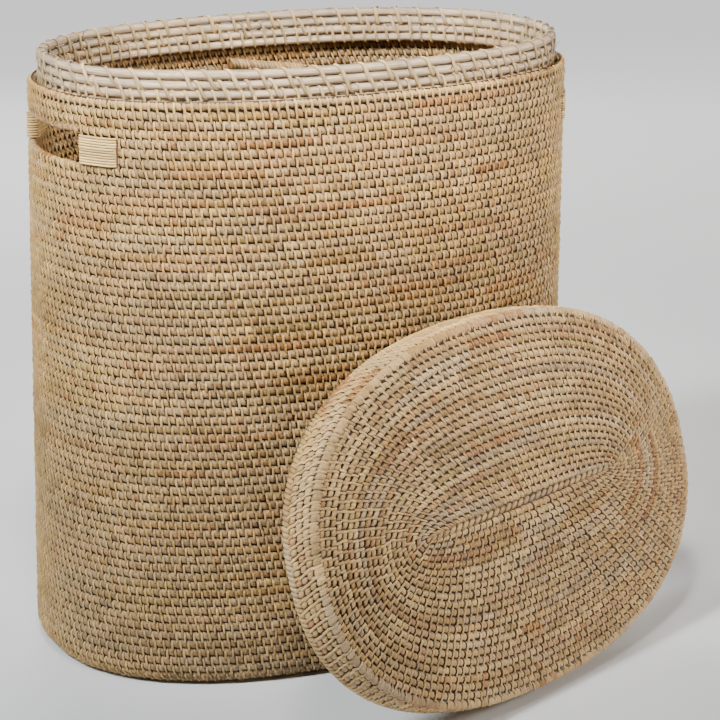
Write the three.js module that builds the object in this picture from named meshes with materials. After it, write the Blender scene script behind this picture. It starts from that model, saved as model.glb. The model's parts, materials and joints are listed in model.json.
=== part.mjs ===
import * as THREE from 'three';

// Oval coiled rattan laundry basket with a raised collar, two hand holes and a loose lid.
// Millimetres, +Z up. The origin is the centre of the underside; the long axis lies along X
// and the front, where the lid leans, faces -Y.

// Basket
const HALF_LENGTH = 279; // outer half length of the oval at the shoulder
const HALF_WIDTH = 185; // outer half width of the oval at the shoulder
const SQUARENESS = 2.3; // exponent of the oval: 2 is an ellipse, more is squarer
const WALL_HEIGHT = 580; // floor to shoulder
const WALL = 8; // thickness of the coiled wall
const FLARE = 5; // how much wider the foot is than the shoulder, on each side
const LEAN = 8; // how far the mouth stands towards +X of the foot
const FOOT_RADIUS = 21; // rounding where the base turns up into the wall
const COURSE = 8.8; // height of one stitched course
const GAP = 0.3; // clearance between neighbouring pieces

// Hand holes, one in each narrow end
const HAND_HEIGHT = 531; // height of the middle of a hole
const HAND_TALL = 28;
const HAND_HALF = 66; // half of a hole's length, measured along Y
const LASHING_END = 103; // Y where the lashing beside a hole ends
const LASHING = 1.2; // thickness of the lashing's strips
const LASHING_PLAY = 0.8; // how far the strips stand off the curved wall

// Collar of stacked poles inside the mouth
const POLE = 8.9; // diameter of a pole
const COLLAR_INSET = 9.5; // from the wall's outer face to the collar's outer face

// Lid
const LID_HALF_LENGTH = 282; // at the lower edge of the skirt
const LID_HALF_WIDTH = 185;
const LID_HEIGHT = 39.5; // lower edge to the corner of the top
const LID_FLARE = 4; // how far the skirt widens towards its lower edge
const LID_SKIRT = 5.5; // thickness of the skirt
const LID_CROWN = 8; // rise of the top's middle above its corner
const LID_TURN = THREE.MathUtils.degToRad(19.4); // the leaning lid's face, turned from -Y to +X
const LID_LEAN = THREE.MathUtils.degToRad(16.5); // and tipped back from upright
const LID_ROLL = THREE.MathUtils.degToRad(0.2); // and rolled on its edge
const LID_CENTRE = [85, -246]; // X and Y of the middle of its lower edge's plane

const SEGMENTS = 64; // steps round a full oval
const REACH = 400; // lathe radius that stands for the wall's outer face

// Materials
const stitched = new THREE.MeshStandardMaterial({ color: 0xc2a47c, roughness: 0.62, metalness: 0 });
const pole = new THREE.MeshStandardMaterial({ color: 0xc9bda4, roughness: 0.72, metalness: 0 });
const strip = new THREE.MeshStandardMaterial({ color: 0xd4b985, roughness: 0.5, metalness: 0 });

// The basket's outer oval at height z: half length, half width and the X of its centre.
const basketOval = (z) => {
  const up = z / WALL_HEIGHT;
  return [HALF_LENGTH + FLARE * (1 - up), HALF_WIDTH + FLARE * (1 - up), LEAN * up];
};
const baseOval = () => basketOval(0);
const lidOval = (z) => {
  const shrink = (LID_FLARE * z) / LID_HEIGHT;
  return [LID_HALF_LENGTH - shrink, LID_HALF_WIDTH - shrink, 0];
};
const lidTopOval = () => lidOval(LID_HEIGHT);

// A point on an oval: angle round it from +X, inset from the outer face, height z.
function ovalPoint(oval, angle, inset, z) {
  const [a, b, x] = oval(z);
  const c = Math.cos(angle);
  const s = Math.sin(angle);
  const power = 2 / SQUARENESS;
  return new THREE.Vector3(
    x + (a - inset) * Math.sign(c) * Math.abs(c) ** power,
    (b - inset) * Math.sign(s) * Math.abs(s) ** power,
    z,
  );
}

// The angle at which the basket's outer face is at that Y, in the quarter from +X to +Y.
const angleAtY = (y) => Math.asin((y / basketOval(HAND_HEIGHT)[1]) ** (SQUARENESS / 2));

// Moves each vertex (u, v, w) to the oval point that read() makes of it.
function bend(geometry, oval, read) {
  const position = geometry.attributes.position;
  for (let i = 0; i < position.count; i++) {
    const [angle, inset, z] = read(position.getX(i), position.getY(i), position.getZ(i));
    const p = ovalPoint(oval, angle, inset, z);
    position.setXYZ(i, p.x, p.y, p.z);
  }
  geometry.computeVertexNormals();
  return geometry;
}

// Full turn of a profile of [inset, z] points. It runs up the outer face and down the inner one.
function turn(oval, profile) {
  const points = profile.map(([inset, z]) => new THREE.Vector2(REACH - inset, z));
  const geometry = new THREE.LatheGeometry(points, SEGMENTS);
  return bend(geometry, oval, (x, y, z) => [Math.atan2(-z, x), REACH - Math.hypot(x, z), y]);
}

const ring = (oval, profile) => turn(oval, [...profile, profile[0]]);

// Part of a ring, from one angle to another.
function arc(oval, profile, from, to, steps) {
  const shape = new THREE.Shape(profile.map(([inset, z]) => new THREE.Vector2(inset, z)));
  const settings = { depth: to - from, steps, bevelEnabled: false };
  const geometry = new THREE.ExtrudeGeometry(shape, settings);
  return bend(geometry, oval, (inset, z, along) => [from + along, inset, z]);
}

const wallProfile = (low, high) => [[0, low], [0, high], [WALL, high], [WALL, low]];

// Quarter-round points about a centre, as [inset, z].
function quarter(inset, z, radius, startDegrees, endDegrees, steps = 4) {
  return Array.from({ length: steps + 1 }, (_, i) => {
    const t = THREE.MathUtils.degToRad(startDegrees + ((endDegrees - startDegrees) * i) / steps);
    return [inset - radius * Math.cos(t), z + radius * Math.sin(t)];
  });
}

function mesh(name, geometry, material) {
  const part = new THREE.Mesh(geometry, material);
  part.name = name;
  return part;
}

// Flat oval mat that the coil starts from. Its courses close on a straight spine.
function baseCoil() {
  const rim = FOOT_RADIUS + GAP;
  const spine = baseOval()[1];
  return turn(baseOval, [[spine, 0], [rim, 0], [rim, WALL], [spine, WALL]]);
}

// Rounded courses that turn the mat up into the wall.
function footTurn() {
  const r = FOOT_RADIUS;
  return ring(basketOval, [...quarter(r, r, r, -90, 0), ...quarter(r, r, r - WALL, 0, -90)]);
}

const handLow = HAND_HEIGHT - HAND_TALL / 2;
const handHigh = HAND_HEIGHT + HAND_TALL / 2;
const bandLow = handLow - COURSE;
const bandHigh = handHigh + COURSE;
const shoulderLow = WALL_HEIGHT - COURSE;

// Top course of the wall. Its flat top is where the lid's edge lands.
function shoulderCourse() {
  const r = COURSE * 0.4;
  const rounded = quarter(r, WALL_HEIGHT - r, r, 0, 90, 3);
  return ring(basketOval, [[0, shoulderLow], ...rounded, [WALL, WALL_HEIGHT], [WALL, shoulderLow]]);
}

// Wall courses between the two hand holes, on one long side.
function handBand(side) {
  const end = angleAtY(HAND_HALF + LASHING + 2 * GAP);
  const start = side > 0 ? end : Math.PI + end;
  return arc(basketOval, wallProfile(bandLow, bandHigh), start, start + Math.PI - 2 * end, 26);
}

// Close-wrapped course that borders a hand hole, below or above it.
function handEdge(middle, low, high) {
  const half = angleAtY(HAND_HALF + LASHING);
  return arc(basketOval, wallProfile(low, high), middle - half, middle + half, 8);
}

// Strips wrapped over the wall's end beside a hole: an outer skin, the end and an inner skin.
function handLashing(toAngle) {
  const far = angleAtY(LASHING_END);
  const end = angleAtY(HAND_HALF);
  const seat = angleAtY(HAND_HALF + LASHING);
  const run = (from, to, inset) =>
    [0, 0.25, 0.5, 0.75, 1].map((t) => new THREE.Vector2(toAngle(from + (to - from) * t), inset));
  const outline = [
    ...run(far, end, -LASHING_PLAY - LASHING),
    ...run(end, far, WALL + LASHING_PLAY + LASHING),
    ...run(far, seat, WALL + LASHING_PLAY),
    ...run(seat, far, -LASHING_PLAY),
  ];
  const tall = HAND_TALL - 2 * GAP;
  const geometry = new THREE.ExtrudeGeometry(new THREE.Shape(outline), {
    depth: tall,
    bevelEnabled: false,
  });
  return bend(geometry, basketOval, (angle, inset, z) => [angle, inset, handLow + GAP + z]);
}

// Round pole bent to the oval, as an eight-sided section with flats above and below.
function collarPole(centreHeight) {
  const r = POLE / 2 / Math.cos(Math.PI / 8);
  const inset = COLLAR_INSET + POLE / 2;
  const section = Array.from({ length: 8 }, (_, i) => {
    const t = ((i - 0.5) * Math.PI) / 4;
    return [inset - r * Math.cos(t), centreHeight + r * Math.sin(t)];
  });
  return ring(basketOval, section);
}

// Close-wrapped coil end fixed along the inside of the far wall, sloping down to the right.
function innerLedge() {
  const from = THREE.MathUtils.degToRad(62);
  const to = THREE.MathUtils.degToRad(90);
  const highEnd = 555;
  const drop = 20;
  const radius = 6;
  const section = Array.from({ length: 8 }, (_, i) => {
    const t = (i * Math.PI) / 4;
    return [WALL + GAP + radius - radius * Math.cos(t), radius * Math.sin(t)];
  });
  const shape = new THREE.Shape(section.map(([inset, z]) => new THREE.Vector2(inset, z)));
  const settings = { depth: 1, steps: 8, bevelEnabled: false };
  return bend(new THREE.ExtrudeGeometry(shape, settings), basketOval, (inset, z, along) => [
    from + (to - from) * along,
    inset,
    highEnd - drop * (1 - along) + z,
  ]);
}

function basket() {
  const group = new THREE.Group();
  const wall = (low, high) => ring(basketOval, wallProfile(low, high));
  const poleHeight = (row) => WALL_HEIGHT + GAP + POLE / 2 + row * (POLE + GAP);
  group.add(
    mesh('base_coil', baseCoil(), stitched),
    mesh('foot_turn', footTurn(), stitched),
    mesh('lower_wall', wall(FOOT_RADIUS + GAP, bandLow - GAP), stitched),
    mesh('front_band', handBand(-1), stitched),
    mesh('back_band', handBand(1), stitched),
    mesh('upper_wall', wall(bandHigh + GAP, shoulderLow - GAP), stitched),
    mesh('shoulder_course', shoulderCourse(), stitched),
    mesh('left_hole_lower_edge', handEdge(Math.PI, bandLow, handLow), stitched),
    mesh('left_hole_upper_edge', handEdge(Math.PI, handHigh, bandHigh), stitched),
    mesh('right_hole_lower_edge', handEdge(0, bandLow, handLow), stitched),
    mesh('right_hole_upper_edge', handEdge(0, handHigh, bandHigh), stitched),
    mesh('lashing_back_right', handLashing((t) => t), strip),
    mesh('lashing_back_left', handLashing((t) => Math.PI - t), strip),
    mesh('lashing_front_left', handLashing((t) => Math.PI + t), strip),
    mesh('lashing_front_right', handLashing((t) => 2 * Math.PI - t), strip),
    mesh('inner_pole', collarPole(poleHeight(-1)), pole),
    mesh('collar_pole_lower', collarPole(poleHeight(0)), pole),
    mesh('collar_pole_middle', collarPole(poleHeight(1)), pole),
    mesh('collar_pole_top', collarPole(poleHeight(2)), pole),
    mesh('inner_ledge', innerLedge(), stitched),
  );
  return group;
}

const lidEdgeTop = COURSE - 1;
const lidCornerLow = LID_HEIGHT - COURSE + 1;

// Lowest course of the lid, rounded outside, with a flat face that lands on the shoulder.
function lidEdge() {
  const r = 3;
  return ring(lidOval, [
    ...quarter(r, r, r, -90, 0, 3),
    [0, lidEdgeTop],
    [LID_SKIRT, lidEdgeTop],
    [LID_SKIRT, 0],
  ]);
}

function lidSkirt() {
  const low = lidEdgeTop + GAP;
  const high = lidCornerLow - GAP;
  return ring(lidOval, [[0, low], [0, high], [LID_SKIRT, high], [LID_SKIRT, low]]);
}

// Rounded course between the skirt and the top.
function lidCorner() {
  const r = COURSE / 2;
  const rounded = quarter(r, LID_HEIGHT - r, r, 0, 90);
  const inner = COURSE;
  return ring(lidOval, [[0, lidCornerLow], ...rounded, [inner, LID_HEIGHT], [inner, lidCornerLow]]);
}

// Crowned top: concentric courses that close on a straight spine.
function lidTop() {
  const rim = COURSE + GAP;
  const spine = lidTopOval()[1];
  const reach = [1, 0.75, 0.5, 0.25, 0];
  const crown = (low) => (f) => [spine - (spine - rim) * f, low + LID_CROWN * (1 - f * f)];
  const under = reach.toReversed().map(crown(lidCornerLow));
  return turn(lidTopOval, [...under, ...reach.map(crown(LID_HEIGHT))]);
}

// The lid stands on its edge on the floor and leans back on the basket's front.
function leaningLid() {
  const lid = new THREE.Group();
  lid.add(
    mesh('lid_edge', lidEdge(), stitched),
    mesh('lid_skirt', lidSkirt(), stitched),
    mesh('lid_corner', lidCorner(), stitched),
    mesh('lid_top', lidTop(), stitched),
  );
  lid.rotation.z = LID_ROLL;
  const tipped = new THREE.Group();
  tipped.rotation.x = Math.PI / 2 - LID_LEAN;
  tipped.add(lid);
  const placed = new THREE.Group();
  placed.rotation.z = LID_TURN;
  placed.position.set(LID_CENTRE[0], LID_CENTRE[1], 0);
  placed.add(tipped);
  placed.position.z = -new THREE.Box3().setFromObject(placed, true).min.z;
  return placed;
}

const part = new THREE.Group();
part.add(basket(), leaningLid());

export default part;
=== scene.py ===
import json
import math

import bpy
import numpy as np
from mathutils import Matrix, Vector


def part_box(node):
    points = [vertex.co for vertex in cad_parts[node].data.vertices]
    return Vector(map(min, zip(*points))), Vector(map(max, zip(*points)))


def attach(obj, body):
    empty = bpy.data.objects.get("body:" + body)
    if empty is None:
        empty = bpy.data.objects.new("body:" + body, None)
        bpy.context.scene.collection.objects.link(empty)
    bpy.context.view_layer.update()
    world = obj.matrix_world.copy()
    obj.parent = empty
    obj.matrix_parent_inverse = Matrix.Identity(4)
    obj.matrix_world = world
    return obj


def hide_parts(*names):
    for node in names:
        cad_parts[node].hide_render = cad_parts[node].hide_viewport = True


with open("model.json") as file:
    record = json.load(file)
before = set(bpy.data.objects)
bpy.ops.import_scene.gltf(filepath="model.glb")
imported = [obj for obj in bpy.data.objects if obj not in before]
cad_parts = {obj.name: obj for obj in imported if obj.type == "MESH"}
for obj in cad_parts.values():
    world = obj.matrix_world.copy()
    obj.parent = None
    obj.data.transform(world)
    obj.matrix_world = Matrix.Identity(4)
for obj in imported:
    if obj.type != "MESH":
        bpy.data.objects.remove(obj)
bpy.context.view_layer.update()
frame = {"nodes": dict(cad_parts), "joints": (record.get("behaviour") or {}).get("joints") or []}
rng = np.random.default_rng(41)

# ---------------------------------------------------------------- sizes, in metres
# The power of the oval: 2 is an ellipse, and more is squarer.
SQUARENESS = 2.3
# The rise of one course of coil, and the length of one stitch along it.
COURSE = 0.0088
COIL_R = COURSE / 2
STITCH = 0.0081
LID_STITCH = 0.0098
BASE_STITCH = 0.0102
LID_TOP_STITCH = 0.0089
# How far, in stitches, each course starts after the one below it.
ROW_SHIFT = 0.39
# The wall's thickness and the radius of the turn at its foot.
WALL = 0.008
FOOT = 0.021
# How far a hand hole's edges run past the hole's half-width.
EDGE_PAST = 0.001
# One turn of the cane round a coil that is wrapped and not stitched.
CLOSE_WRAP = 0.0046
LOOSE_WRAP = 0.0052

mouth_low, mouth_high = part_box("shoulder_course")
HEIGHT = mouth_high.z
TOP_A = (mouth_high.x - mouth_low.x) / 2
TOP_B = (mouth_high.y - mouth_low.y) / 2
LEAN = (mouth_high.x + mouth_low.x) / 2
base_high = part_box("base_coil")[1]
FOOT_A = base_high.x + FOOT
FOOT_B = base_high.y + FOOT
HAND_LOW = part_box("left_hole_lower_edge")[1].z
HAND_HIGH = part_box("left_hole_upper_edge")[0].z
BAND_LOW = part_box("left_hole_lower_edge")[0].z
BAND_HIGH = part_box("left_hole_upper_edge")[1].z
HAND_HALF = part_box("left_hole_lower_edge")[1].y - EDGE_PAST
LASH_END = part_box("lashing_back_right")[1].y
POLE_NAMES = ("inner_pole", "collar_pole_lower", "collar_pole_middle", "collar_pole_top")
POLES = [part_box(name) for name in POLE_NAMES]
POLE_R = (POLES[0][1].z - POLES[0][0].z) / 2
POLE_A = (POLES[3][1].x - POLES[3][0].x) / 2 - POLE_R
POLE_B = (POLES[3][1].y - POLES[3][0].y) / 2 - POLE_R


# ---------------------------------------------------------------- ovals and surfaces
def spread(a, b, count=6000):
    """The angle at a fraction of the way round an oval, by arc length, and the oval's length."""
    t = np.linspace(0, 2 * np.pi, count + 1)
    x, y = a * power(np.cos(t)), b * power(np.sin(t))
    run = np.concatenate([[0], np.cumsum(np.hypot(np.diff(x), np.diff(y)))])
    return lambda f: np.interp(np.mod(f, 1), run / run[-1], t), run[-1]


def power(c):
    """A cosine or a sine, bent from an ellipse's to the oval's."""
    return np.sign(c) * np.abs(c) ** (2 / SQUARENESS)


def oval(a, b, t):
    """Point and outward unit normal of an oval at angle t."""
    x, y = power(np.cos(t)), power(np.sin(t))
    nx = np.sign(x) * np.abs(x) ** (SQUARENESS - 1) / a
    ny = np.sign(y) * np.abs(y) ** (SQUARENESS - 1) / b
    n = np.hypot(nx, ny)
    return a * x, b * y, nx / n, ny / n


wall_angle, WALL_ROUND = spread((TOP_A + FOOT_A) / 2, (TOP_B + FOOT_B) / 2)
FOOT_ARC = FOOT * math.pi / 2
# How far the weave keeps from the edge of a hand hole.
SEAM = 0.001


def outer_wall(f, s, h):
    """f round the basket, s up the outer face from the mat's edge, h out of the face."""
    turn = np.clip(s / FOOT, 0, np.pi / 2)
    inset = FOOT * (1 - np.sin(turn))
    z = FOOT * (1 - np.cos(turn)) + np.maximum(s - FOOT_ARC, 0)
    up = np.clip(z / HEIGHT, 0, 1)
    a = FOOT_A + (TOP_A - FOOT_A) * up - inset
    b = FOOT_B + (TOP_B - FOOT_B) * up - inset
    x, y, nx, ny = oval(a, b, wall_angle(f))
    out = h * np.sin(turn)
    return np.stack([x + LEAN * up + nx * out, y + ny * out, z - h * np.cos(turn)], -1)


def inner_wall(f, z, h):
    """f round the basket the other way, z up, h towards the inside of the inner face."""
    up = np.clip(z / HEIGHT, 0, 1)
    low = np.clip((FOOT - z) / (FOOT - WALL), 0, 1)
    inset = WALL + (FOOT - WALL) * (1 - np.sqrt(1 - low**2))
    a = FOOT_A + (TOP_A - FOOT_A) * up - inset
    b = FOOT_B + (TOP_B - FOOT_B) * up - inset
    x, y, nx, ny = oval(a, b, wall_angle(-f))
    level = h * np.sqrt(1 - low**2)
    return np.stack([x + LEAN * up - nx * level, y - ny * level, z + h * low + 0 * f], -1)


def flat_mat(a, b, spine, z, up):
    """An oval mat whose courses close on a spine: f round it, g from the spine to its rim."""
    sign = 1 if up else -1

    def place(f, g, h):
        g = np.clip(g, 0.002, 1)
        t = 2 * np.pi * np.mod(f, 1) * sign
        x, y, _, _ = oval(spine + (a - spine) * g, b * g, t)
        return np.stack([x, y, z(g) + sign * h], -1)

    return place


# How far the surface that carries the stitches lies inside the lid's corner course.
LID_INSET = 0.0006
# The lid's own frame: along its length, across it, and out of its top.
lift = Vector(frame["joints"][0]["axis"]).normalized()
ring = np.array([v.co for v in frame["nodes"]["lid_edge"].data.vertices])
LID_N = np.array(lift)
heights = ring @ LID_N
flat = ring - heights[:, None] * LID_N
LID_U = np.linalg.svd(flat - flat.mean(0), full_matrices=False)[2][0]
LID_U *= np.sign(LID_U[0])
LID_V = np.cross(LID_N, LID_U)


def middle_along(points, axis):
    """Half-way between the two ends of those points along an axis."""
    reach = points @ axis
    return (reach.max() + reach.min()) / 2


LID_O = LID_U * middle_along(ring, LID_U) + LID_V * middle_along(ring, LID_V) + LID_N * heights.min()
corner = np.array([v.co for v in frame["nodes"]["lid_corner"].data.vertices]) - LID_O
LID_A = np.abs((ring - LID_O) @ LID_U).max()
LID_B = np.abs((ring - LID_O) @ LID_V).max()
LID_TOP_A = np.abs(corner @ LID_U).max() - LID_INSET
LID_TOP_B = np.abs(corner @ LID_V).max() - LID_INSET
LID_H = (corner @ LID_N).max()
LID_THICK = 0.0055
LID_SPINE = 0.135
LID_CROWN = 0.008
LID_PLATE = 0.0078
lid_angle, LID_ROUND = spread(LID_A, LID_B)


def lid_world(x, y, z):
    """From the lid's own frame to the room's."""
    return LID_O + x[..., None] * LID_U + y[..., None] * LID_V + z[..., None] * LID_N


def lid_side(f, z, h, inside=False):
    """f round the skirt, z up it from its lower edge, h out of its outer or its inner face."""
    side = np.clip(z / LID_H, 0, 1)
    inset = LID_THICK if inside else 0
    a = LID_A + (LID_TOP_A - LID_A) * side - inset
    b = LID_B + (LID_TOP_B - LID_B) * side - inset
    x, y, nx, ny = oval(a, b, lid_angle(-f if inside else f))
    out = -h if inside else h
    return lid_world(x + nx * out, y + ny * out, z + 0 * f)


def crown(g):
    """How far the lid's top rises, g from its spine to its rim."""
    return LID_CROWN * (1 - np.clip(g / 0.95, 0, 1) ** 2)


def lid_face(under=False):
    """The lid's top, or its underside: f round it, g from its spine to its rim."""
    sign = -1 if under else 1
    level = LID_H - (LID_PLATE if under else 0)

    def place(f, g, h):
        g = np.clip(g, 0.002, 1)
        a = LID_SPINE + (LID_TOP_A - LID_SPINE) * g
        x, y, _, _ = oval(a, LID_TOP_B * g, 2 * np.pi * np.mod(f, 1) * sign)
        return lid_world(x, y, level + crown(g) + sign * h)

    return place


# ---------------------------------------------------------------- meshes
def mesh_object(name, verts, quads, stain, grain, body, material, replaces=()):
    """A mesh of quads with a colour and a grain coordinate at each point."""
    verts = np.asarray(verts, np.float32).reshape(-1, 3)
    verts[:, 2] = np.maximum(verts[:, 2], 0.0)
    quads = np.asarray(quads, np.int32).reshape(-1, 4)
    me = bpy.data.meshes.new(name)
    me.vertices.add(len(verts))
    me.vertices.foreach_set("co", verts.ravel())
    me.loops.add(quads.size)
    me.loops.foreach_set("vertex_index", quads.ravel())
    me.polygons.add(len(quads))
    me.polygons.foreach_set("loop_start", np.arange(0, quads.size, 4, dtype=np.int32))
    me.polygons.foreach_set("loop_total", np.full(len(quads), 4, np.int32))
    me.update(calc_edges=True)
    me.polygons.foreach_set("use_smooth", np.ones(len(quads), bool))
    colour = me.attributes.new("stain", "FLOAT_COLOR", "POINT")
    rgba = np.ones((len(verts), 4), np.float32)
    rgba[:, :3] = stain
    colour.data.foreach_set("color", rgba.ravel())
    fibre = me.attributes.new("grain", "FLOAT_VECTOR", "POINT")
    fibre.data.foreach_set("vector", np.asarray(grain, np.float32).ravel())
    me.materials.append(material)
    ob = bpy.data.objects.new(name, me)
    bpy.context.scene.collection.objects.link(ob)
    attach(ob, body)
    if replaces:
        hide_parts(*replaces)
    return ob


class Pile:
    """Gathers quads and their attributes for one object."""

    def __init__(self):
        self.verts = []
        self.quads = []
        self.stains = []
        self.grains = []
        self.count = 0

    def add(self, verts, quads, stain, grain):
        verts = verts.reshape(-1, 3)
        self.verts.append(verts)
        self.quads.append(quads.reshape(-1, 4) + self.count)
        self.stains.append(np.broadcast_to(stain, verts.shape))
        self.grains.append(grain.reshape(-1, 3))
        self.count += len(verts)

    def make(self, name, body, material, slot, replaces=()):
        ob = mesh_object(
            name,
            np.concatenate(self.verts),
            np.concatenate(self.quads),
            np.concatenate(self.stains),
            np.concatenate(self.grains),
            body,
            material,
            replaces,
        )
        return ob


def grid_quads(rows, cols, closed=False):
    """The quads of a grid of points, closed across its columns if asked."""
    r, c = np.meshgrid(np.arange(rows - 1), np.arange(cols if closed else cols - 1), indexing="ij")
    d = (c + 1) % cols
    return np.stack([r * cols + c, r * cols + d, (r + 1) * cols + d, (r + 1) * cols + c], -1).reshape(-1, 4)


def many_grids(shape, count):
    """The quads of that many separate grids of one shape."""
    return grid_quads(*shape)[None] + (np.arange(count) * shape[0] * shape[1])[:, None, None]


# ---------------------------------------------------------------- colours of the cane
HONEY = np.array([0.47, 0.248, 0.072])
PALE = np.array([0.62, 0.385, 0.145])
YELLOW = np.array([0.72, 0.475, 0.150])
PINK = np.array([0.50, 0.245, 0.115])
OLIVE = np.array([0.40, 0.27, 0.055])
RUST = np.array([0.38, 0.13, 0.028])
GREY = np.array([0.45, 0.31, 0.175])
# DARK, the core's colour in the gaps between the stitches, is painted shade.
DARK = np.array([0.058, 0.024, 0.008])

# How often a length of cane takes each tint, and how strongly.
TINTS = ((PINK, 0.13, 0.4), (OLIVE, 0.08, 0.32), (RUST, 0.05, 0.62), (GREY, 0.25, 0.42))
ODD_STITCHES = 0.045


def cane(count, dark=0.0, wild=1.0, region=None):
    """Colours for a row of stitches: each length of cane covers a few neighbours."""
    ends = np.cumsum(rng.integers(3, 13, count))
    piece = np.searchsorted(ends, np.arange(count), side="right")
    pieces = piece[-1] + 1
    mix = np.clip(rng.normal(0.5, 0.3, pieces), 0, 1)[:, None]
    base = HONEY * (1 - mix) + PALE * mix
    pick = rng.random(pieces)
    for tint, chance, amount in TINTS:
        hit = pick < chance * wild
        base[hit] = base[hit] * (1 - amount) + tint * amount
        pick = np.where(hit, 9, pick - chance * wild)
    tone = (base * np.clip(rng.normal(1, 0.09, pieces), 0.7, 1.3)[:, None])[piece]
    odd = rng.random(count) < ODD_STITCHES * wild
    tone[odd] = tone[odd] * 0.5 + RUST * 0.5
    if region is not None:
        dull = np.clip(-0.2 * region, 0, 0.5)[:, None]
        tone = (tone * (1 - dull) + GREY * dull) * (1 + 0.04 * region)[:, None]
    return tone * np.clip(1 + rng.normal(0, 0.08, count) - dark, 0.45, 1.4)[:, None]


def drop(v):
    """How far a round coil falls away, v course heights from its middle."""
    return COIL_R * (1 - np.sqrt(np.clip(1 - (v / 0.5) ** 2, 0, 1)))


# A wrap: the wide pillow. A tie: the narrow cane beside it that reaches the next course.
WRAP_U = np.array([-0.38, -0.20, 0.20, 0.38])
WRAP_V = np.array([-0.40, -0.28, 0.0, 0.31, 0.42])
WRAP_REST = 0.0004
WRAP_FALL = 0.95
WRAP_SIDE = 0.38
SIDE_DROP = 0.0018
SIDE_POWER = 2.2
WRAP_SLANT = 0.10
WRAP_TILT = 0.20
TIE_U = np.array([-0.145, 0.0, 0.145])
TIE_PLACE = -0.46
TIE_SIDE_DROP = 0.0010
QUIET_TIE_DROP = 0.0005
TIE_GRAIN = 7
TIE_V = np.array([-0.90, -0.74, -0.50, -0.18, 0.20, 0.47])
TIE_H = np.array([-0.0022, 0.0003, -0.0001, 0.0009, 0.0007, -0.0022])
# The coarser mesh of both, for rows that are in the shade or out of sight.
PLAIN_WRAP_U = np.array([-0.38, 0.0, 0.38])
PLAIN_WRAP_V = np.array([-0.40, -0.18, 0.20, 0.42])
PLAIN_TIE = [0, 1, 3, 5]


def stitch_row(pile, place, along, row, pitch, count, colours, shift=0.0, keep=None, proud=1.0,
               wrap=True, crest=0.30, lean=-0.13, fine=True, steps=None):
    """One course of stitches, put on a surface by place(f, s, h).

    along is the middle of the course and row its rise. wrap=False leaves only the ties, and steps
    leaves only the wraps, with that many rungs. crest is how much brighter the ties are, partly a
    paler cane and partly a painted highlight, and the least bright also lie lower. lean is how far
    they slant, and fine=False thins out the mesh.
    """
    i = np.arange(count)
    f0 = (i + shift + rng.normal(0, 0.045, count)) / count
    if keep is not None:
        kept = keep(f0)
        f0, i = f0[kept], i[kept]
        colours = colours[i]
    m = len(f0)
    if m == 0:
        return
    wide = 1 + rng.normal(0, 0.07, m)
    tall = rng.normal(0, 0.03, m)
    raised = rng.normal(0, 0.00022, m)
    fibre = rng.random(m) * 50

    def grain_of(u, U, V, shift=0):
        """Each stitch's own place in the grain."""
        own = fibre[:, None, None]
        return np.stack([u[None] * pitch + own + shift, V + 0 * U, own + 0 * U], -1)

    # wraps
    wrap_v = WRAP_V if fine else PLAIN_WRAP_V
    if steps:
        wrap_v = np.linspace(-0.42, 0.42, steps)
    v, u = np.meshgrid(wrap_v, WRAP_U if fine else PLAIN_WRAP_U, indexing="ij")
    side = (np.abs(u) / WRAP_SIDE) ** SIDE_POWER
    h = WRAP_REST - drop(v) * WRAP_FALL - SIDE_DROP * side
    taper = 1 - 0.10 * (np.abs(v) > 0.3) - 0.20 * (np.abs(v) > 0.4)
    U = f0[:, None, None] + (u * taper - WRAP_SLANT * v)[None] * wide[:, None, None] / count
    V = along + (v - WRAP_TILT * u + tall[:, None, None]) * row
    H = h[None] * proud + raised[:, None, None]
    shade = 1 - 0.15 * np.clip(side, 0, 1) - 0.40 * (np.abs(v) > 0.38)
    stain = 0.94 * colours[:, None, None, :] * shade[None, :, :, None]
    if wrap:
        pile.add(place(U, V, H), many_grids(u.shape, m), stain.reshape(-1, 3), grain_of(u, U, V))
    if steps:
        return
    # ties
    rungs = slice(None) if fine else PLAIN_TIE
    v, u = np.meshgrid(TIE_V[rungs], TIE_U, indexing="ij")
    h = np.repeat(TIE_H[rungs, None], 3, 1) - TIE_SIDE_DROP * (np.abs(u) > 0.1)
    if crest < 0.2:
        h = h - QUIET_TIE_DROP
    thin = 1 - 0.25 * (v > 0.4) - 0.25 * (v < -0.8)
    slant = rng.normal(lean, 0.05, m)
    across = TIE_PLACE + (u * thin)[None] * wide[:, None, None] + slant[:, None, None] * v
    U = f0[:, None, None] + across / count
    V = along + (v + tall[:, None, None]) * row
    H = h[None] * proud + raised[:, None, None]
    # The ties are brighter and yellower: partly their paler cane and partly a painted highlight.
    tone = (colours * (1 - crest) + YELLOW * crest) * (1 + rng.normal(0.3 * crest, 0.08, m))[:, None]
    shade = (1 - 0.16 * (np.abs(u) > 0.1)) * np.where((v > 0.4) | (v < -0.8), 0.6, 1)
    stain = tone[:, None, None, :] * shade[None, :, :, None]
    pile.add(place(U, V, H), many_grids(u.shape, m), stain.reshape(-1, 3), grain_of(u, U, V, TIE_GRAIN))


def core_sheet(pile, place, edges, cols=150, hide=None, proud=-0.0014, deep=-0.0040):
    """The core behind the stitches, painted dark as shade: a corrugated sheet with a valley at each course
    edge.
    """
    s, h = [], []
    for low, high in zip(edges[:-1], edges[1:]):
        s += [low, low + (high - low) * 0.3, low + (high - low) * 0.7]
        h += [deep, proud, proud]
    s, h = np.array(s + [edges[-1]]), np.array(h + [deep])
    f = np.arange(cols) / cols
    F, S = np.meshgrid(f, s)
    H = np.repeat(h[:, None], cols, 1)
    P = place(F, S, H)
    quads = grid_quads(len(s), cols, closed=True)
    if hide is not None:
        centre = P.reshape(-1, 3)[quads].mean(1)
        quads = quads[~hide(centre)]
    # Painted shade: the core is nearly black, and darker still in the valleys at the course edges.
    tone = np.where(H < (deep + proud) / 2, 0.5, 1.6)[..., None] * DARK
    pile.add(P, quads, tone.reshape(-1, 3), np.stack([F * 3, S * 20, H], -1))


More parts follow.
